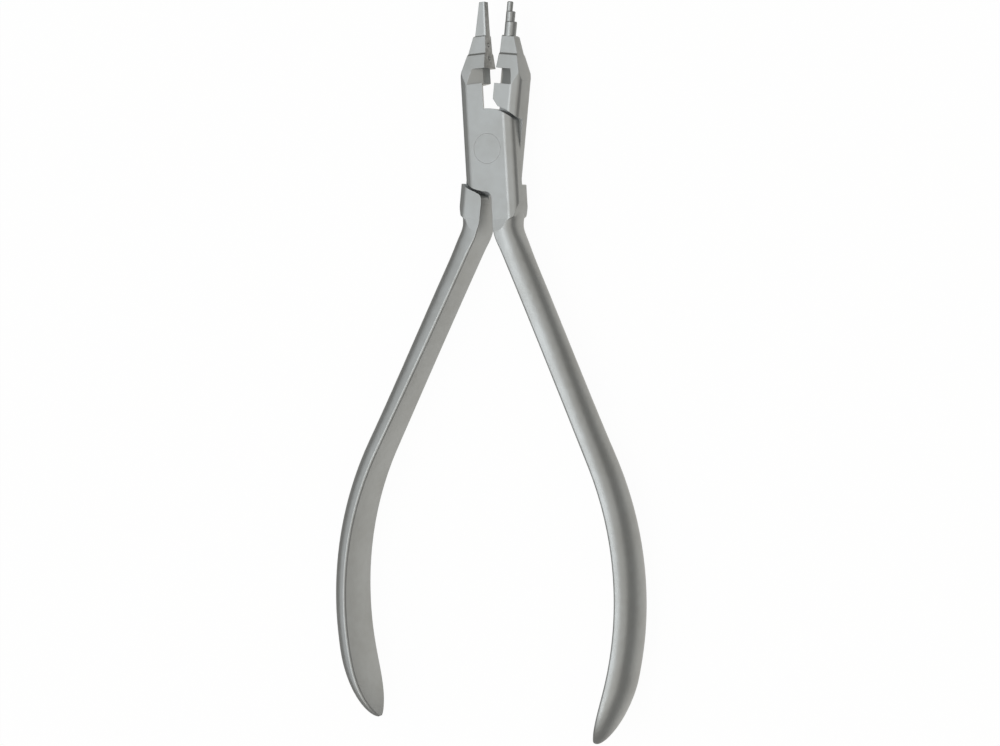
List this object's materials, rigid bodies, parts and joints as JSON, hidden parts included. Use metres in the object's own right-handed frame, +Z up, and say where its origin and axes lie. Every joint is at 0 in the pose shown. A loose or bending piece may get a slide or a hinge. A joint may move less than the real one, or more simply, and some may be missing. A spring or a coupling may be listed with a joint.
{
  "type": "orthodontic loop-forming pliers with wire cutter",
  "caption": "Slim steel wire-bending pliers with a lap joint, a tapered beak opposite round loop-forming steps, a wire cutter behind the tips and curved handles.",
  "frame": {"origin": "centre of the bounding box's bottom face, the surface the pliers lie on", "axes": "+Z up out of the front plate, along the pivot's axis; +Y towards the jaw tips; +X towards the handle of the front lever"},
  "size_m": [0.0648, 0.1384, 0.0105],
  "materials": {
    "lever_steel": "fine satin",
    "pin_steel": "ground flush, fine satin"
  },
  "bodies": {
    "front": {"front_lever": "lever_steel"},
    "rear": {"rear_lever": "lever_steel", "pivot_pin": "pin_steel"}
  },
  "joints": [
    {"name": "pivot", "type": "hinge", "parent": "front", "child": "rear", "pos_m": [0, 0.04163, 0.00526], "axis": [0, 0, 1], "range_deg": [-35, 9.4]}
  ]
}
